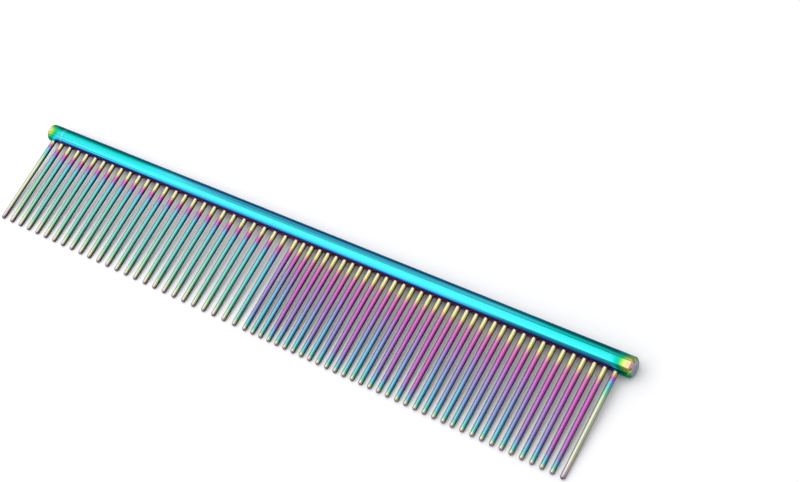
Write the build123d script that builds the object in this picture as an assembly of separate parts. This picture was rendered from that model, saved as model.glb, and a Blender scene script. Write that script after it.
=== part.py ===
"""Steel grooming comb: a round tubular spine with one row of press-fitted round teeth.

The spine is a tube closed at both ends by solid plugs.  Each plug has a head as wide as the tube
and a spigot that goes into the bore, and a ring of silver solder fills the seam between the head
and the tube.  Every tooth is a plain round pin: it goes through the front wall of the spine,
crosses the bore and seats in a shallow pocket in the back wall.  The teeth near the ends also
cross a plug's spigot, which pins the plug in place.  Half of the row has a coarse pitch and the
other half a fine one.  Nothing on the comb moves.

Units are millimetres.  The comb lies as it rests on a table: the spine runs along X with the
coarse teeth at -X, the teeth point to -Y, and both the spine and the tooth tips touch z = 0.
The origin is on the table, under the middle of the comb's outline.
"""

from build123d import *
import math
import os

# ---- Spine ----
SPINE_LENGTH = 188.0
SPINE_DIAMETER = 5.0
SPINE_WALL = 1.0

# ---- End plugs and the solder rings at their seams ----
PLUG_HEAD_LENGTH = 5.65
PLUG_SPIGOT_LENGTH = 5.0  # from the end of the tube inwards
PLUG_END_CHAMFER = 0.6
PLUG_EDGE_ROUND = 0.25
SPIGOT_CHAMFER = 0.3
SPIGOT_FIT = 0.0  # radial gap of the spigot in the bore, which is a drive fit
SOLDER_RING_WIDTH = 0.5

# ---- Teeth ----
TOOTH_DIAMETER = 1.4
TOOTH_REACH = 29.0  # from the spine's axis to the very tip
TOOTH_POCKET_DEPTH = 0.4  # how far a tooth's root goes into the back wall
TOOTH_FIT = 0.0  # radial gap of a tooth in its hole, which is a press fit
TOOTH_ROOT_CHAMFER = 0.2
TIP_NARROWING = 0.125  # how much slimmer the tip's radius is than the tooth's
TIP_TAPER_LENGTH = 20.0

# ---- Tooth row: the coarse pitch takes half of it, and the fine pitch the rest ----
COARSE_END_MARGIN = 2.4  # from the spine's coarse end to the axis of the first tooth
FINE_END_MARGIN = 3.6  # the least that is left beyond the last tooth's axis
COARSE_PITCH = 3.5
FINE_PITCH = 2.6
FINE_TEETH_PER_NODE = 2

# ---- Worked out from the sizes above ----
SPINE_RADIUS = SPINE_DIAMETER / 2
BORE_RADIUS = SPINE_RADIUS - SPINE_WALL
TOOTH_RADIUS = TOOTH_DIAMETER / 2
TIP_RADIUS = TOOTH_RADIUS - TIP_NARROWING
TOOTH_ROOT_END = BORE_RADIUS + TOOTH_POCKET_DEPTH  # from the spine's axis backwards
TIP_CENTRE = TOOTH_REACH - TIP_RADIUS
SEAM_INSET = PLUG_HEAD_LENGTH + SOLDER_RING_WIDTH
TUBE_LENGTH = SPINE_LENGTH - 2 * SEAM_INSET
FINE_END_X = SPINE_LENGTH / 2
FIRST_TOOTH_X = COARSE_END_MARGIN - SPINE_LENGTH / 2
ROW_LENGTH = SPINE_LENGTH - COARSE_END_MARGIN - FINE_END_MARGIN
ROUNDING = 0.001  # part of a pitch, so that a row which just fits isn't a tooth short
COARSE_STEPS = math.floor(ROW_LENGTH / 2 / COARSE_PITCH + ROUNDING)
COARSE_ROW = COARSE_STEPS * COARSE_PITCH
FINE_STEPS = math.floor((ROW_LENGTH - COARSE_ROW) / FINE_PITCH + ROUNDING)

# The comb lies on the round of its spine and on its tooth tips, which tips it forward a little.
LIE_ANGLE = math.degrees(math.asin((SPINE_RADIUS - TIP_RADIUS) / TIP_CENTRE))
FRONT_EDGE = TIP_CENTRE * math.cos(math.radians(LIE_ANGLE)) + TIP_RADIUS
OUTLINE_CENTRE_Y = (SPINE_RADIUS - FRONT_EDGE) / 2
AT_REST = Pos(0, -OUTLINE_CENTRE_Y, SPINE_RADIUS) * Rot(LIE_ANGLE, 0, 0)


def coarse_tooth_places():
    """X of each coarse tooth, from the coarse end inwards."""
    return [FIRST_TOOTH_X + i * COARSE_PITCH for i in range(COARSE_STEPS + 1)]


def fine_tooth_places():
    """X of each fine tooth, going on from the last coarse tooth."""
    last_coarse = FIRST_TOOTH_X + COARSE_ROW
    return [last_coarse + (i + 1) * FINE_PITCH for i in range(FINE_STEPS)]


def along_x(radius, start, end):
    """A round bar on the spine's axis from X start to X end."""
    bar = Cylinder(radius, end - start, align=(Align.CENTER, Align.CENTER, Align.MIN))
    return Pos(start, 0, 0) * Rot(0, 90, 0) * bar


def tooth():
    """One tooth on the Y axis: its root is behind the spine's axis and its tip at -Y."""
    taper_start = TOOTH_REACH - TIP_TAPER_LENGTH
    outline = [
        (0, TOOTH_ROOT_END),
        (TOOTH_RADIUS - TOOTH_ROOT_CHAMFER, TOOTH_ROOT_END),
        (TOOTH_RADIUS, TOOTH_ROOT_END - TOOTH_ROOT_CHAMFER),
        (TOOTH_RADIUS, -taper_start),
        (TIP_RADIUS, -TIP_CENTRE),
    ]
    side = Polyline(*outline)
    tip = CenterArc((0, -TIP_CENTRE), TIP_RADIUS, start_angle=-90, arc_size=90)
    axis = Line((0, -TOOTH_REACH), (0, TOOTH_ROOT_END))
    return revolve(make_face(side + tip + axis), Axis.Y, 360)


def tooth_hole():
    """The hole that one tooth is pressed into: through the front wall, blind in the back one."""
    clear_of_front = 2 * SPINE_RADIUS
    depth = TOOTH_ROOT_END + clear_of_front
    up = (Align.CENTER, Align.CENTER, Align.MIN)
    hole = Cylinder(TOOTH_RADIUS + TOOTH_FIT, depth, align=up)
    return Pos(0, TOOTH_ROOT_END, 0) * Rot(90, 0, 0) * hole


def drilled(piece, places):
    """The piece with a tooth hole at each of these places that it reaches."""
    box = piece.bounding_box()
    reach = TOOTH_RADIUS + TOOTH_FIT
    reached = [x for x in places if box.min.X - reach < x < box.max.X + reach]
    holes = [Pos(x, 0, 0) * tooth_hole() for x in reached]
    return piece - holes if holes else piece


def spine_tube():
    """The tube between the two solder rings."""
    half = TUBE_LENGTH / 2
    return along_x(SPINE_RADIUS, -half, half) - along_x(BORE_RADIUS, -half, half)


def end_plug():
    """The plug at the fine end, +X: a chamfered head and a spigot that runs into the bore."""
    head_start = FINE_END_X - PLUG_HEAD_LENGTH
    spigot_start = FINE_END_X - SEAM_INSET - PLUG_SPIGOT_LENGTH
    spigot_radius = BORE_RADIUS - SPIGOT_FIT
    outline = Polyline(
        (spigot_start, 0),
        (spigot_start, spigot_radius - SPIGOT_CHAMFER),
        (spigot_start + SPIGOT_CHAMFER, spigot_radius),
        (head_start, spigot_radius),
        (head_start, SPINE_RADIUS),
        (FINE_END_X - PLUG_END_CHAMFER, SPINE_RADIUS),
        (FINE_END_X, SPINE_RADIUS - PLUG_END_CHAMFER),
        (FINE_END_X, 0),
        close=True,
    )
    face = make_face(outline)
    rim = face.vertices().filter_by(lambda v: v.X > head_start and v.Y > 0)
    return revolve(fillet(rim, PLUG_EDGE_ROUND), Axis.X, 360)


def solder_ring():
    """The ring in the seam at the fine end, between the plug's head and the tube."""
    outer = FINE_END_X - PLUG_HEAD_LENGTH
    inner = outer - SOLDER_RING_WIDTH
    spigot = along_x(BORE_RADIUS - SPIGOT_FIT, inner, outer)
    return along_x(SPINE_RADIUS, inner, outer) - spigot


def at_coarse_end(piece):
    """The same piece turned end for end, for the coarse end of the spine."""
    return Rot(0, 180, 0) * piece


def write(node, pieces):
    """Writes one node: the pieces as separate solids, in the resting frame."""
    placed = [AT_REST * piece for piece in pieces]
    solids = [solid for piece in placed for solid in piece.solids()]
    shape = solids[0] if len(solids) == 1 else Compound(children=solids)
    export_step(shape, f"parts/{node}.step")


def main():
    os.makedirs("parts", exist_ok=True)
    coarse = coarse_tooth_places()
    fine = fine_tooth_places()
    teeth = coarse + fine

    write("spine_tube", [drilled(spine_tube(), teeth)])
    write("fine_end_plug", [drilled(end_plug(), teeth)])
    write("coarse_end_plug", [drilled(at_coarse_end(end_plug()), teeth)])
    write("fine_end_solder_ring", [drilled(solder_ring(), teeth)])
    write("coarse_end_solder_ring", [drilled(at_coarse_end(solder_ring()), teeth)])

    one_tooth = tooth()
    for number, x in enumerate(coarse, start=1):
        write(f"coarse_tooth_{number:02d}", [Pos(x, 0, 0) * one_tooth])
    for first in range(0, len(fine), FINE_TEETH_PER_NODE):
        group = fine[first : first + FINE_TEETH_PER_NODE]
        last = first + len(group)
        name = f"fine_tooth_{first + 1:02d}" + (f"_{last:02d}" if len(group) > 1 else "")
        write(name, [Pos(x, 0, 0) * one_tooth for x in group])


main()
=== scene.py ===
import math
import random
import bmesh
import bpy
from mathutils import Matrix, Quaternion, Vector


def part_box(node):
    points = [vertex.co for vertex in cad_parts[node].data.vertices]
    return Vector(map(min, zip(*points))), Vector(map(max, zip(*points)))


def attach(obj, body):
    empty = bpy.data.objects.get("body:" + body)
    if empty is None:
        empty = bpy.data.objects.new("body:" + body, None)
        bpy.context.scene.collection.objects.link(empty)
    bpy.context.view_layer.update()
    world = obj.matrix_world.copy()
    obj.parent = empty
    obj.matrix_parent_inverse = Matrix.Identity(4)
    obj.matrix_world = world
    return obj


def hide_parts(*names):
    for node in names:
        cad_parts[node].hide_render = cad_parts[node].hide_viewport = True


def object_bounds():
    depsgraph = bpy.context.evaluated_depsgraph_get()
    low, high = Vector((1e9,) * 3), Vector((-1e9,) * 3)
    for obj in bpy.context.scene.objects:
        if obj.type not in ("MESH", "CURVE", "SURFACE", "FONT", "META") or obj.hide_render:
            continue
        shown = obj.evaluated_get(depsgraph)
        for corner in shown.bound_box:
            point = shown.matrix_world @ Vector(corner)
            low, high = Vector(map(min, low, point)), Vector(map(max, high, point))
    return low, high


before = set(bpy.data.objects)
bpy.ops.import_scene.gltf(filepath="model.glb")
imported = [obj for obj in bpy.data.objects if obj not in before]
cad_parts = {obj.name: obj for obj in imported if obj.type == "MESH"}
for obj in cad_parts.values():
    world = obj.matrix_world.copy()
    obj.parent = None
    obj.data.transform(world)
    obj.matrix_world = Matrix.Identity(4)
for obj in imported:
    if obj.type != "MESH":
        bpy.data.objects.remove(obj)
cad_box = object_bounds()


# ---- Spine tube ----
# The comb's back: a hard-drawn steel tube, polished and coated, with one row of holes along its
# front that the teeth are pressed into.  The drill leaves a small rounded dish at each hole.
MM = 0.001
tube_low, tube_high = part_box("spine_tube")
spine_radius = (tube_high.z - tube_low.z) / 2
spine_y = (tube_high.y + tube_low.y) / 2
spine_z = (tube_high.z + tube_low.z) / 2
coarse_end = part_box("coarse_end_plug")[0].x
fine_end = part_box("fine_end_plug")[1].x
BORE_RADIUS = 1.5 * MM
TUBE_EDGE = 0.012 * MM
DISH_DEPTH = 0.07 * MM
DISH_REACH = 0.34 * MM
TOOTH_RADIUS = 0.7 * MM
TIP_RADIUS = 0.575 * MM


def tooth_places(kind):
    """X of each tooth of this kind, read from the nodes that hold one or two teeth each."""
    places = set()
    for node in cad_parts:
        if node.startswith(kind):
            low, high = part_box(node)
            places.update((round(low.x + TOOTH_RADIUS, 6), round(high.x - TOOTH_RADIUS, 6)))
    return sorted(places)


def tooth_direction():
    """The way every tooth points: from the spine's axis down to the tips on the table."""
    low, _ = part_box("coarse_tooth_01")
    return Vector((0, low.y + TIP_RADIUS - spine_y, low.z + TIP_RADIUS - spine_z)).normalized()


all_teeth = tooth_places("coarse_tooth") + tooth_places("fine_tooth")
tooth_way = tooth_direction()
tooth_side = Vector((1, 0, 0)).cross(tooth_way)


def on_spine(along, radius, turn):
    """A point at this X and radius, turned about the spine's axis from the teeth's direction."""
    way = tooth_way * math.cos(turn) + tooth_side * math.sin(turn)
    return Vector((along, spine_y, spine_z)) + way * radius


def finish_mesh(name, mesh, sharp):
    """Shades a mesh smooth apart from edges over this angle, and puts it in the scene."""
    mesh.polygons.foreach_set("use_smooth", [True] * len(mesh.polygons))
    mesh.set_sharp_from_angle(angle=math.radians(sharp))
    piece = bpy.data.objects.new(name, mesh)
    bpy.context.scene.collection.objects.link(piece)
    return piece


def ring_columns(start, end):
    """Where the tube's rings of points go: close together at each tooth, further apart between."""
    columns = {start, end}
    steps = 7
    for x in all_teeth:
        for i in range(-steps, steps + 1):
            place = x + i / steps * (TOOTH_RADIUS + DISH_REACH)
            if start < place < end:
                columns.add(place)
    apart = 0.05 * MM
    kept = [start]
    for place in sorted(columns):
        if place - kept[-1] > apart and end - place > apart:
            kept.append(place)
    return kept + [end]


def spine_turns():
    """Angles round the tube from the teeth's direction: close together where the holes are."""
    near, near_step, far_step = 30, 3, 5
    close = range(-near, near + 1, near_step)
    wide = range(near + far_step, 360 - near, far_step)
    return [math.radians(degrees) for degrees in (*close, *wide)]


def dish(along, turn):
    """How deep the tube's surface lies under its full radius here, round a tooth's hole."""
    nearest = min(all_teeth, key=lambda x: abs(x - along))
    across = spine_radius * ((turn + math.pi) % (2 * math.pi) - math.pi)
    away = math.hypot(along - nearest, across) - TOOTH_RADIUS
    fade = min(max(away / DISH_REACH, 0), 1)
    return DISH_DEPTH * (1 - fade * fade * (3 - 2 * fade))


def edge_radius(share):
    """The tube's radius at this share of the way over its rounded end."""
    return spine_radius - TUBE_EDGE * (1 - math.sqrt(share * (2 - share)))


def make_tube():
    """The outside, with a shallow dish round each tooth but no holes, two rounded ends and the
    bore, as one closed mesh.
    """
    edge_shares = (0, 0.35, 1)
    turns = spine_turns()
    start, end = tube_low.x, tube_high.x
    rings = []
    for share in edge_shares:
        rings.append([(start + TUBE_EDGE * share, edge_radius(share), t) for t in turns])
    for x in ring_columns(start + 2 * TUBE_EDGE, end - 2 * TUBE_EDGE):
        rings.append([(x, spine_radius - dish(x, t), t) for t in turns])
    for share in reversed(edge_shares):
        rings.append([(end - TUBE_EDGE * share, edge_radius(share), t) for t in turns])
    rings.append([(end, BORE_RADIUS, t) for t in turns])
    rings.append([(start, BORE_RADIUS, t) for t in turns])
    shape = bmesh.new()
    points = [[shape.verts.new(on_spine(*place)) for place in ring] for ring in rings]
    for i, ring in enumerate(points):
        after = points[(i + 1) % len(points)]
        for j in range(len(turns)):
            k = (j + 1) % len(turns)
            shape.faces.new((ring[j], after[j], after[k], ring[k]))
    bmesh.ops.recalc_face_normals(shape, faces=shape.faces)
    mesh = bpy.data.meshes.new("spine_tube_polished")
    shape.to_mesh(mesh)
    shape.free()
    return mesh


def tint(red, green, blue, depth=1.0):
    """The surface's own colour, from the look of it as 0 to 255 and the share of light it gives
    back.  The sums are the usual ones from a screen's colour to light."""
    parts = [c / 255 for c in (red, green, blue)]
    linear = [p / 12.92 if p < 0.04 else ((p + 0.055) / 1.055) ** 2.4 for p in parts]
    return [p * depth for p in linear] + [1]


def add(tree, kind, settings=None, **inputs):
    """One shader node: its settings, and its inputs, by name or as i0 and i1, each a value or
    another node's output."""
    made = tree.nodes.new("ShaderNode" + kind)
    for name, value in (settings or {}).items():
        setattr(made, name, value)
    for name, value in inputs.items():
        numbered = name[0] == "i" and name[1:].isdigit()
        socket = made.inputs[int(name[1:]) if numbered else name]
        if isinstance(value, bpy.types.NodeSocket):
            tree.links.new(value, socket)
        else:
            socket.default_value = value
    return made.outputs[0]


def math_of(tree, operation, first, second=0.0):
    """One sum in a material."""
    return add(tree, "Math", {"operation": operation}, i0=first, i1=second)


def spread(tree, value, low, high):
    """The value as a share, 0 to 1, of the stretch from low to high."""
    return add(tree, "MapRange", None, Value=value, **{"From Min": low, "From Max": high})


def blended(tree, share, none, full):
    """A number between two others, by a share."""
    return add(tree, "MapRange", None, Value=share, **{"To Min": none, "To Max": full})


def colours(tree, share, stops, depth=1.0):
    """A run of colours along a share from 0 to 1."""
    ramp = tree.nodes.new("ShaderNodeValToRGB")
    tree.links.new(share, ramp.inputs[0])
    bar = ramp.color_ramp
    while len(bar.elements) < len(stops):
        bar.elements.new(0.5)
    for element, (place, colour) in zip(bar.elements, stops):
        element.position = place
    for element, (place, colour) in zip(bar.elements, stops):
        element.color = tint(*colour, depth)
    return ramp.outputs[0]


def curve(tree, value, points):
    """A smooth curve through these points, as a number from a number."""
    node = tree.nodes.new("ShaderNodeFloatCurve")
    tree.links.new(value, node.inputs["Value"])
    line = node.mapping.curves[0]
    while len(line.points) < len(points):
        line.points.new(0.5, 0.5)
    for point, place in zip(line.points, points):
        point.location = place
        point.handle_type = "AUTO_CLAMPED"
    node.mapping.update()
    return node.outputs[0]


def mixed(tree, share, first, second, how="MIX"):
    """Two colours mixed by a share."""
    node = tree.nodes.new("ShaderNodeMix")
    node.data_type = "RGBA"
    node.blend_type = how
    for socket, value in ((0, share), (6, first), (7, second)):
        if isinstance(value, bpy.types.NodeSocket):
            tree.links.new(value, node.inputs[socket])
        else:
            node.inputs[socket].default_value = value
    return node.outputs[2]


def new_finish(name):
    """An empty material and its coordinates in metres."""
    finish = bpy.data.materials.new(name)
    finish.use_nodes = True
    tree = finish.node_tree
    tree.nodes.clear()
    where = tree.nodes.new("ShaderNodeTexCoord").outputs["Object"]
    parts = tree.nodes.new("ShaderNodeSeparateXYZ")
    tree.links.new(where, parts.inputs[0])
    return finish, tree, where, parts.outputs


def polished_metal(tree, colour, where, grain, rough, lines, edge):
    """Bright metal with the marks of polishing: grain is how the marks are stretched, and edge is
    the coating's own colour where it is seen aslant."""
    stretched = add(tree, "Mapping", None, Vector=where, Scale=grain)
    marks = add(tree, "TexNoise", None, Vector=stretched, Scale=1.0, Detail=4.0)
    roughness = blended(tree, marks, *rough)
    bump = add(tree, "Bump", None, Height=marks, Strength=lines, Distance=MARK_DEPTH)
    shader = tree.nodes.new("ShaderNodeBsdfPrincipled")
    shader.inputs["Metallic"].default_value = 1.0
    if isinstance(edge, bpy.types.NodeSocket):
        tree.links.new(edge, shader.inputs["Specular Tint"])
    else:
        shader.inputs["Specular Tint"].default_value = edge
    tree.links.new(colour, shader.inputs["Base Color"])
    tree.links.new(roughness, shader.inputs["Roughness"])
    tree.links.new(bump, shader.inputs["Normal"])
    surface = tree.nodes.new("ShaderNodeOutputMaterial")
    tree.links.new(shader.outputs[0], surface.inputs[0])


def turn_share(tree, parts):
    """The angle round the spine as a share: 0.5 faces the teeth's tips and 0.75 faces up."""
    front = math_of(tree, "SUBTRACT", spine_y, parts[1])
    up = math_of(tree, "SUBTRACT", parts[2], spine_z)
    return spread(tree, math_of(tree, "ARCTAN2", up, front), -math.pi, math.pi)


def film_on_spine(tree, parts):
    """How thick the coating lies on the spine: thin under the front and thicker over the top and
    back, thinner again along the middle of the back, and thickest at the two ends."""
    turn = turn_share(tree, parts)
    along = spread(tree, parts[0], coarse_end, fine_end)
    film = curve(tree, turn, FILM_ROUND)
    middle = curve(tree, along, FILM_MIDDLE)
    thinner = math_of(tree, "MULTIPLY", middle, curve(tree, turn, FILM_BACK))
    film = math_of(tree, "SUBTRACT", film, math_of(tree, "MULTIPLY", thinner, MOST_THINNED))
    at_end = curve(tree, along, FILM_AT_END)
    film = blended(tree, at_end, film, curve(tree, turn, FILM_ROUND_END))
    film = math_of(tree, "ADD", film, curve(tree, along, FILM_ENDS))
    across = math_of(tree, "POWER", math_of(tree, "SUBTRACT", parts[1], spine_y), 2.0)
    upward = math_of(tree, "POWER", math_of(tree, "SUBTRACT", parts[2], spine_z), 2.0)
    from_axis = math_of(tree, "SQRT", math_of(tree, "ADD", across, upward))
    rim = spread(tree, from_axis, RIM_STARTS * spine_radius, RIM_FULL * spine_radius)
    return film, turn, rim, at_end


def spine_colours(tree, parts):
    """The spine's colour: the film's colour, multiplied by painted shade that darkens the spine's
    underside and back (less so at its two ends), and its colour where it is seen aslant."""
    film, turn, rim, at_end = film_on_spine(tree, parts)
    colour = colours(tree, film, FILM_COLOURS, SPINE_DEPTH)
    # Painted shade: the spine darker on its underside and back, by angle round it.
    painted_shade = mixed(tree, at_end, colours(tree, turn, SPINE_PAINTED_SHADE), colours(tree, turn, END_PAINTED_SHADE))
    side_colour = mixed(tree, 1.0, colour, painted_shade, "MULTIPLY")
    height = spread(tree, parts[2], spine_z - spine_radius, spine_z + spine_radius)
    face_colour = colours(tree, height, END_FACE_COLOURS, SPINE_DEPTH)
    return mixed(tree, rim, face_colour, side_colour), mixed(tree, rim, FACE_ASLANT, SPINE_ASLANT)


MARK_DEPTH = 0.02 * MM
MOST_THINNED = 0.2
RIM_STARTS = 0.66
RIM_FULL = 0.82
SPINE_DEPTH = 0.6
SPINE_ASLANT = (0.4, 0.6, 0.75, 1)
FACE_ASLANT = (1, 1, 1, 1)
SPINE_GRAIN = (60, 5000, 5000)
SPINE_ROUGH = (0.08, 0.14)
SPINE_LINES = 0.02
TUBE_SHARP_ANGLE = 50
END_FACE_COLOURS = [
    (0.12, (112, 196, 156)),
    (0.35, (138, 168, 192)),
    (0.62, (164, 158, 206)),
    (0.84, (222, 168, 212)),
]
FILM_ROUND = [
    (0.0, 0.44),
    (0.25, 0.02),
    (0.46, 0.03),
    (0.50, 0.065),
    (0.55, 0.12),
    (0.588, 0.19),
    (0.618, 0.30),
    (0.646, 0.36),
    (0.672, 0.385),
    (0.70, 0.40),
    (0.75, 0.44),
    (0.775, 0.475),
    (0.805, 0.51),
    (0.84, 0.51),
    (0.90, 0.45),
    (1.0, 0.44),
]
FILM_MIDDLE = [
    (0.0, 0.0),
    (0.13, 0.0),
    (0.24, 0.5),
    (0.35, 1.0),
    (0.75, 0.85),
    (0.86, 0.4),
    (0.96, 0.0),
    (1.0, 0.0),
]
FILM_BACK = [
    (0.0, 0.15),
    (0.6, 0.15),
    (0.71, 0.15),
    (0.775, 0.72),
    (0.81, 1.0),
    (0.88, 1.0),
    (1.0, 0.15),
]
FILM_AT_END = [
    (0.0, 1.0),
    (0.01, 1.0),
    (0.022, 0.0),
    (0.5, 0.0),
    (0.972, 0.0),
    (0.985, 1.0),
    (1.0, 1.0),
]
FILM_ROUND_END = [
    (0.0, 0.30),
    (0.5, 0.18),
    (0.55, 0.21),
    (0.588, 0.26),
    (0.618, 0.31),
    (0.646, 0.35),
    (0.69, 0.42),
    (0.75, 0.41),
    (0.775, 0.37),
    (0.805, 0.35),
    (0.86, 0.31),
    (1.0, 0.30),
]
FILM_ENDS = [
    (0.0, 0.38),
    (0.0053, 0.34),
    (0.0106, 0.28),
    (0.016, 0.17),
    (0.022, 0.05),
    (0.028, 0.0),
    (0.5, 0.0),
    (0.964, 0.0),
    (0.9787, 0.10),
    (0.984, 0.23),
    (0.9894, 0.34),
    (0.9955, 0.40),
    (1.0, 0.42),
]
FILM_COLOURS = [
    (0.00, (150, 102, 84)),
    (0.06, (200, 110, 116)),
    (0.12, (176, 84, 152)),
    (0.165, (100, 74, 172)),
    (0.20, (62, 84, 186)),
    (0.255, (44, 142, 212)),
    (0.31, (78, 206, 250)),
    (0.37, (78, 246, 252)),
    (0.42, (54, 240, 246)),
    (0.47, (22, 228, 212)),
    (0.52, (30, 208, 182)),
    (0.58, (36, 212, 140)),
    (0.64, (100, 222, 104)),
    (0.70, (190, 234, 110)),
    (0.76, (244, 240, 144)),
    (0.82, (252, 214, 196)),
    (0.88, (232, 160, 196)),
    (0.93, (178, 140, 184)),
    (1.00, (128, 152, 190)),
]
# Painted shade round the spine, by angle: these darken the underside and the back and leave the
# front and top full; the milder END_PAINTED_SHADE is used at the two ends.
END_PAINTED_SHADE = [
    (0.0, (170, 170, 176)),
    (0.55, (200, 200, 204)),
    (0.64, (255, 255, 255)),
    (0.82, (255, 255, 255)),
    (0.88, (180, 184, 190)),
]
SPINE_PAINTED_SHADE = [
    (0.00, (160, 160, 160)),
    (0.30, (150, 150, 150)),
    (0.56, (255, 255, 255)),
    (0.78, (255, 255, 255)),
    (0.81, (224, 228, 236)),
    (0.845, (128, 140, 160)),
    (0.89, (100, 114, 136)),
    (1.00, (160, 160, 160)),
]

spine_coating, tree, where, parts = new_finish("spine_coating")
colour, aslant = spine_colours(tree, parts)
polished_metal(tree, colour, where, SPINE_GRAIN, SPINE_ROUGH, SPINE_LINES, aslant)

spine_tube = finish_mesh("spine_tube_polished", make_tube(), TUBE_SHARP_ANGLE)
spine_tube.data.materials.append(spine_coating)
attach(spine_tube, "root")
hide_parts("spine_tube")


# ---- End plugs ----
# Solid turned steel, driven into the tube's bore by a spigot: the head is as wide as the tube, with
# a flat end face inside a polished chamfer.  Coated with the spine.
SPIGOT_LENGTH = 5.5 * MM
SPIGOT_CHAMFER = 0.3 * MM
END_CHAMFER = 0.6 * MM
END_ROUND = 0.25 * MM
PLUG_SIDES = 96
TURNED_SHARP_ANGLE = 60


def turned(name, outline, at, way, sides):
    """A piece turned on a lathe: outline is (distance along way, radius) from end to end."""
    side = way.orthogonal().normalized()
    other = way.cross(side)
    shape = bmesh.new()
    rings = []
    for along, radius in outline:
        middle = at + way * along
        if radius == 0:
            rings.append([shape.verts.new(middle)] * sides)
            continue
        ring = []
        for i in range(sides):
            angle = 2 * math.pi * i / sides
            outwards = side * math.cos(angle) + other * math.sin(angle)
            ring.append(shape.verts.new(middle + outwards * radius))
        rings.append(ring)
    for ring, after in zip(rings, rings[1:]):
        for j in range(sides):
            k = (j + 1) % sides
            corners = list(dict.fromkeys((ring[j], ring[k], after[k], after[j])))
            if len(corners) > 2:
                shape.faces.new(corners)
    bmesh.ops.recalc_face_normals(shape, faces=shape.faces)
    mesh = bpy.data.meshes.new(name)
    shape.to_mesh(mesh)
    shape.free()
    return mesh


def rounded_corner(before, corner, after, radius, steps=6):
    """Points of an arc that rounds one corner of an outline."""
    before, corner, after = Vector(before), Vector(corner), Vector(after)
    to_before = (before - corner).normalized()
    to_after = (after - corner).normalized()
    half = to_before.angle(to_after) / 2
    middle = corner + (to_before + to_after).normalized() * radius / math.sin(half)
    first = corner + to_before * radius / math.tan(half) - middle
    last = corner + to_after * radius / math.tan(half) - middle
    sweep = first.angle_signed(last)
    points = []
    for i in range(steps + 1):
        angle = -sweep * i / steps
        c, s = math.cos(angle), math.sin(angle)
        swung = Vector((first.x * c - first.y * s, first.x * s + first.y * c))
        points.append(tuple(middle + swung))
    return points


def plug_outline(head_length):
    """From the spigot's inner end to the middle of the end face, from the head's shoulder on."""
    flat = spine_radius - END_CHAMFER
    rim = (head_length - END_CHAMFER, spine_radius)
    lip = (head_length, flat)
    eased = 0.3 * TUBE_EDGE
    return [
        (-SPIGOT_LENGTH, 0),
        (-SPIGOT_LENGTH, BORE_RADIUS - SPIGOT_CHAMFER),
        (SPIGOT_CHAMFER - SPIGOT_LENGTH, BORE_RADIUS),
        (0, BORE_RADIUS),
        (0, spine_radius - TUBE_EDGE),
        (eased, spine_radius - eased),
        (TUBE_EDGE, spine_radius),
        (2 * TUBE_EDGE, spine_radius),
        (head_length - END_CHAMFER - END_ROUND, spine_radius),
        *rounded_corner((0, spine_radius), rim, lip, END_ROUND),
        *rounded_corner(rim, lip, (head_length, 0), END_ROUND),
        (head_length, flat - END_ROUND),
        (head_length, 0),
    ]


for end, way in (("coarse", -1), ("fine", 1)):
    node = f"{end}_end_plug"
    ring_low, ring_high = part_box(f"{end}_end_solder_ring")
    shoulder = ring_low.x if way < 0 else ring_high.x
    tip = coarse_end if way < 0 else fine_end
    outline = plug_outline(abs(tip - shoulder))
    seat = Vector((shoulder, spine_y, spine_z))
    mesh = turned(node, outline, seat, Vector((way, 0, 0)), PLUG_SIDES)
    plug = finish_mesh(f"{node}_polished", mesh, TURNED_SHARP_ANGLE)
    plug.data.materials.append(spine_coating)
    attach(plug, "root")
    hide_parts(node)


# ---- Solder rings ----
# Silver solder run into the seam between each plug and the tube, then dressed and polished down.
# It takes the coating a little less well than the steel does, mostly at the coarse end.
RING_DIP = 0.004 * MM
RING_GRAIN = (900, 900, 900)
RING_ROUGH = (0.09, 0.16)
RING_LINES = 0.04
BARE_SOLDER = (214, 246, 248)
SHOWING = (0.22, 0.02)

ring_finish, tree, where, parts = new_finish("solder_ring")
showing = blended(tree, spread(tree, parts[0], coarse_end, fine_end), *SHOWING)
colour, aslant = spine_colours(tree, parts)
paler = mixed(tree, showing, colour, tint(*BARE_SOLDER, SPINE_DEPTH))
polished_metal(tree, paler, where, RING_GRAIN, RING_ROUGH, RING_LINES, aslant)

for end in ("coarse", "fine"):
    node = f"{end}_end_solder_ring"
    low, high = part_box(node)
    width = high.x - low.x
    steps = 6
    outline = [(0, BORE_RADIUS)]
    for i in range(steps + 1):
        from_middle = abs(i / (steps / 2) - 1)
        outline.append((width * i / steps, spine_radius - RING_DIP * from_middle**3))
    outline += [(width, BORE_RADIUS), (0, BORE_RADIUS)]
    seat = Vector((low.x, spine_y, spine_z))
    mesh = turned(node, outline, seat, Vector((1, 0, 0)), PLUG_SIDES)
    ring = finish_mesh(f"{node}_dressed", mesh, TUBE_SHARP_ANGLE)
    ring.data.materials.append(ring_finish)
    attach(ring, "root")
    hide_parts(node)


# ---- Teeth ----
# Round polished pins of spring steel, pressed through the spine's front wall, tapered towards the
# tip and domed.  Hand work leaves each a hair out of line, and coated a little differently.
ROOT_BEHIND = 1.9 * MM
ROOT_CHAMFER = 0.2 * MM
TOOTH_REACH = 28.99 * MM
TAPER_LENGTH = 20.0 * MM
TOOTH_SIDES = 32
LEAN = 0.12
COARSE_UNLIKE = 0.08
FINE_UNLIKE = 0.28
TOOTH_DEPTH = 0.56
TOOTH_ASLANT = (0.6, 0.6, 0.6, 1)
TOOTH_GRAIN = (900, 60, 900)
TOOTH_ROUGH = (0.10, 0.14)
TOOTH_LINES = 0.02

by_hand = random.Random(11)


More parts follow.
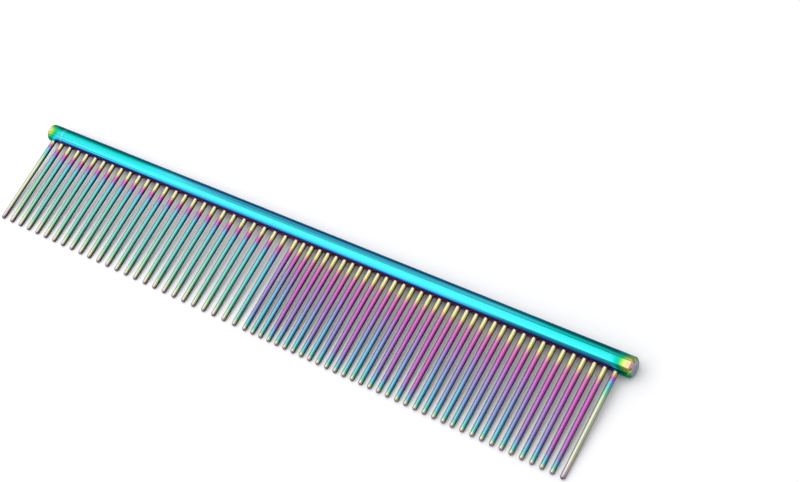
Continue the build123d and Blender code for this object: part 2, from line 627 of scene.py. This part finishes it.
def tooth_outline():
    """From the root in the back wall to the dome of the tip, measured from the spine's axis."""
    dome_start = TOOTH_REACH - TIP_RADIUS
    taper_start = TOOTH_REACH - TAPER_LENGTH
    points = [
        (-ROOT_BEHIND, 0),
        (-ROOT_BEHIND, TOOTH_RADIUS - ROOT_CHAMFER),
        (ROOT_CHAMFER - ROOT_BEHIND, TOOTH_RADIUS),
    ]
    shaft = 6
    points += [(taper_start * i / shaft, TOOTH_RADIUS) for i in range(shaft + 1)]
    taper = 16
    for i in range(1, taper + 1):
        share = i / taper
        drop = (TOOTH_RADIUS - TIP_RADIUS) * share
        points.append((taper_start + (dome_start - taper_start) * share, TOOTH_RADIUS - drop))
    dome = 7
    for i in range(1, dome + 1):
        angle = math.pi / 2 * i / dome
        radius = TIP_RADIUS * math.cos(angle) if i < dome else 0
        points.append((dome_start + TIP_RADIUS * math.sin(angle), radius))
    return points


def tooth_centre(tree, parts):
    """X of the axis of the tooth that a point is on, the same over the whole tooth."""
    rows = []
    for row in (tooth_places("coarse_tooth"), tooth_places("fine_tooth")):
        pitch = row[1] - row[0]
        beyond = math_of(tree, "SUBTRACT", parts[0], row[0] - pitch / 2)
        rows.append(math_of(tree, "ADD", math_of(tree, "SNAP", beyond, pitch), row[0]))
    between = (tooth_places("coarse_tooth")[-1] + tooth_places("fine_tooth")[0]) / 2
    return blended(tree, math_of(tree, "GREATER_THAN", parts[0], between), *rows)


def film_on_tooth(tree, parts):
    """How thick the coating lies along a tooth.  It grows faster on the coarse teeth, and faster
    still on the outermost ones, and no two teeth are quite the same."""
    share = spread(tree, math_of(tree, "SUBTRACT", spine_y, parts[1]), 0, TOOTH_REACH)
    centre = tooth_centre(tree, parts)
    along = spread(tree, centre, coarse_end, fine_end)
    fineness = curve(tree, along, FINE_KIND)
    film = blended(tree, fineness, curve(tree, share, COARSE_FILM), curve(tree, share, FINE_FILM))
    centre_in_mm = math_of(tree, "MULTIPLY", centre, 1 / MM)
    chance = add(tree, "TexWhiteNoise", {"noise_dimensions": "1D"}, W=centre_in_mm)
    unlike = math_of(tree, "MULTIPLY", chance, curve(tree, share, UNLIKE_ALONG))
    most_unlike = blended(tree, fineness, COARSE_UNLIKE, FINE_UNLIKE)
    film = math_of(tree, "ADD", film, math_of(tree, "MULTIPLY", unlike, most_unlike))
    return blended(tree, curve(tree, along, OUTERMOST), film, curve(tree, share, OUTER_FILM))


COARSE_FILM = [
    (0.0, 0.0),
    (0.125, 0.0),
    (0.16, 0.1),
    (0.20, 0.24),
    (0.24, 0.42),
    (0.29, 0.58),
    (0.38, 0.66),
    (0.76, 0.72),
    (0.86, 0.77),
    (0.92, 0.84),
    (0.96, 0.91),
    (0.985, 0.95),
    (1.0, 1.0),
]
FINE_FILM = [
    (0.0, 0.0),
    (0.125, 0.01),
    (0.16, 0.05),
    (0.19, 0.12),
    (0.24, 0.205),
    (0.31, 0.24),
    (0.59, 0.27),
    (0.79, 0.30),
    (0.86, 0.38),
    (0.915, 0.52),
    (0.95, 0.75),
    (0.975, 0.90),
    (1.0, 1.0),
]
OUTER_FILM = [
    (0.0, 0.0),
    (0.11, 0.10),
    (0.145, 0.34),
    (0.19, 0.58),
    (0.24, 0.75),
    (0.31, 0.85),
    (0.40, 0.89),
    (0.80, 0.90),
    (0.90, 0.93),
    (0.97, 0.96),
    (1.0, 1.0),
]
UNLIKE_ALONG = [
    (0.0, 0.0),
    (0.26, 0.0),
    (0.38, 0.3),
    (0.52, 0.65),
    (0.66, 0.9),
    (0.74, 1.0),
    (0.86, 0.9),
    (0.94, 0.2),
    (0.97, 0.0),
    (1.0, 0.0),
]
FINE_KIND = [
    (0.0, 0.0),
    (0.42, 0.0),
    (0.475, 0.35),
    (0.51, 0.85),
    (0.54, 1.0),
    (0.97, 1.0),
    (0.978, 0.0),
    (1.0, 0.0),
]
OUTERMOST = [
    (0.0, 1.0),
    (0.02, 1.0),
    (0.031, 0.3),
    (0.05, 0.05),
    (0.09, 0.0),
    (0.97, 0.0),
    (0.978, 1.0),
    (1.0, 1.0),
]
TOOTH_COLOURS = [
    (0.00, (252, 246, 196)),
    (0.05, (252, 248, 156)),
    (0.12, (246, 190, 178)),
    (0.20, (234, 136, 202)),
    (0.28, (228, 118, 214)),
    (0.36, (198, 142, 224)),
    (0.44, (160, 168, 232)),
    (0.52, (134, 204, 242)),
    (0.60, (122, 220, 240)),
    (0.67, (126, 226, 228)),
    (0.74, (138, 230, 214)),
    (0.81, (170, 242, 196)),
    (0.87, (226, 250, 200)),
    (0.91, (252, 248, 222)),
    (0.95, (244, 218, 232)),
    (0.975, (216, 186, 206)),
    (1.00, (110, 84, 104)),
]
# Painted shade on the teeth: darker where the surface faces down or sideways, read from its normal.
PAINTED_UNDERSIDE_SHADE = [
    (0.0, (48, 48, 54)),
    (0.48, (48, 48, 54)),
    (0.60, (120, 120, 126)),
    (0.73, (255, 255, 255)),
]

tooth_coating, tree, where, parts = new_finish("tooth_coating")
colour = colours(tree, film_on_tooth(tree, parts), TOOTH_COLOURS, TOOTH_DEPTH)
# The teeth's colour multiplied by painted shade, darker where the surface faces down or sideways.
facing = tree.nodes.new("ShaderNodeSeparateXYZ")
tree.links.new(tree.nodes.new("ShaderNodeNewGeometry").outputs["Normal"], facing.inputs[0])
painted_shade = colours(tree, spread(tree, facing.outputs[2], -1, 1), PAINTED_UNDERSIDE_SHADE)
colour = mixed(tree, 1.0, colour, painted_shade, "MULTIPLY")
polished_metal(tree, colour, where, TOOTH_GRAIN, TOOTH_ROUGH, TOOTH_LINES, TOOTH_ASLANT)

outline = tooth_outline()
for node in sorted(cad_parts):
    if not node.startswith(("coarse_tooth", "fine_tooth")):
        continue
    low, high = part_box(node)
    places = sorted({round(low.x + TOOTH_RADIUS, 6), round(high.x - TOOTH_RADIUS, 6)})
    pins = bmesh.new()
    for x in places:
        lean = math.radians(by_hand.uniform(-LEAN, LEAN))
        way = (tooth_way + Vector((math.sin(lean), 0, 0))).normalized()
        one_pin = turned(node, outline, Vector((x, spine_y, spine_z)), way, TOOTH_SIDES)
        pins.from_mesh(one_pin)
        bpy.data.meshes.remove(one_pin)
    mesh = bpy.data.meshes.new(f"{node}_pin")
    pins.to_mesh(mesh)
    pins.free()
    tooth = finish_mesh(f"{node}_pin", mesh, TURNED_SHARP_ANGLE)
    tooth.data.materials.append(tooth_coating)
    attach(tooth, "root")
    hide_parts(node)


# ---- Table ----
# A plain white table top with a faint sheen, far larger than the comb that lies on it.
TABLE_SIZE = 6.0
TABLE_WHITE = (247, 247, 248)
TABLE_WHITEST = (252, 252, 252)
SPECKS_PER_METRE = 4.0

table_finish, tree, where, parts = new_finish("white_table")
speck = add(tree, "TexNoise", None, Vector=where, Scale=SPECKS_PER_METRE, Detail=3.0)
pale = mixed(tree, speck, tint(*TABLE_WHITE), tint(*TABLE_WHITEST))
shader = tree.nodes.new("ShaderNodeBsdfPrincipled")
shader.inputs["Roughness"].default_value = 0.55
shader.inputs["IOR"].default_value = 1.35
tree.links.new(pale, shader.inputs["Base Color"])
surface = tree.nodes.new("ShaderNodeOutputMaterial")
tree.links.new(shader.outputs[0], surface.inputs[0])

shape = bmesh.new()
bmesh.ops.create_grid(shape, x_segments=8, y_segments=8, size=TABLE_SIZE / 2)
mesh = bpy.data.meshes.new("table_top")
shape.to_mesh(mesh)
shape.free()
table_top = bpy.data.objects.new("table_top", mesh)
bpy.context.scene.collection.objects.link(table_top)
table_top.data.materials.append(table_finish)


# ---- Studio light ----
# A long softbox overhead, set slantwise across the comb, with smaller ones at its side and behind,
# and low ones behind and in front to fill.  The pale room round them is dimmer towards the horizon,
# apart from the side that the fine end points to.
comb_middle = (cad_box[0] + cad_box[1]) / 2


def softbox(name, place, width, depth, watts, tilt=0, slant=0):
    """A flat lamp at this place in metres from the comb: level, then tilted back and slanted."""
    lamp = bpy.data.lights.new(name, "AREA")
    lamp.shape = "RECTANGLE"
    lamp.size = width
    lamp.size_y = depth
    lamp.energy = watts
    box = bpy.data.objects.new(name, lamp)
    box.location = comb_middle + Vector(place)
    box.rotation_euler = (math.radians(tilt), 0, math.radians(slant))
    bpy.context.scene.collection.objects.link(box)


softbox("overhead_softbox", (-0.490, -0.451, 0.80), width=2.36, depth=0.83, watts=8.7, slant=50)
softbox("side_softbox", (-1.15, 0.26, 0.80), width=0.82, depth=1.20, watts=3.7, slant=18)
softbox("back_softbox", (-0.552, 0.568, 0.80), width=1.20, depth=0.44, watts=0.9, slant=58)
softbox("back_strip", (-0.95, 0.78, 0.40), width=1.50, depth=0.45, watts=1.3, tilt=-63)
softbox("front_fill", (-1.00, -1.15, 0.33), width=1.00, depth=0.45, watts=1.7, tilt=75)

DIM_SIDE = [
    (0.0, (120, 120, 126)),
    (0.12, (200, 200, 204)),
    (0.5, (186, 186, 190)),
    (1.0, (180, 180, 184)),
]
BRIGHT_SIDE = [
    (0.0, (80, 80, 84)),
    (0.10, (110, 110, 114)),
    (0.24, (255, 255, 255)),
    (0.6, (240, 240, 242)),
    (1.0, (186, 186, 190)),
]
BRIGHT_FROM = -0.2
BRIGHT_TO = 0.7
ROOM_STRENGTH = 0.85

room = bpy.data.worlds.new("pale_room")
bpy.context.scene.world = room
room.use_nodes = True
tree = room.node_tree
tree.nodes.clear()
where = tree.nodes.new("ShaderNodeTexCoord").outputs["Generated"]
way = tree.nodes.new("ShaderNodeSeparateXYZ")
tree.links.new(where, way.inputs[0])
dim_side = colours(tree, way.outputs[2], DIM_SIDE)
bright_side = colours(tree, way.outputs[2], BRIGHT_SIDE)
towards_bright = spread(tree, way.outputs[0], BRIGHT_FROM, BRIGHT_TO)
glow = tree.nodes.new("ShaderNodeBackground")
glow.inputs["Strength"].default_value = ROOM_STRENGTH
tree.links.new(mixed(tree, towards_bright, dim_side, bright_side), glow.inputs[0])
surface = tree.nodes.new("ShaderNodeOutputWorld")
tree.links.new(glow.outputs[0], surface.inputs[0])
bpy.context.scene.view_settings.view_transform = "Standard"


# ---- Camera ----
# Above the fine end, looking down across the comb to its coarse end, with the head tilted.
EYE = Vector((182.4, -76.9, 261.9)) * MM
AIM = Vector((25.6, 21.0, 2.5)) * MM
HEAD_TILT = math.radians(-31.19)
LENS = 58.04

camera = bpy.data.cameras.new("camera")
camera.lens = LENS
camera.sensor_width = 36.0
camera.clip_start = 0.01
viewer = bpy.data.objects.new("camera", camera)
viewer.location = EYE
viewer.rotation_mode = "QUATERNION"
viewer.rotation_quaternion = (AIM - EYE).to_track_quat("-Z", "Y") @ Quaternion((0, 0, 1), HEAD_TILT)
bpy.context.scene.collection.objects.link(viewer)
bpy.context.scene.camera = viewer
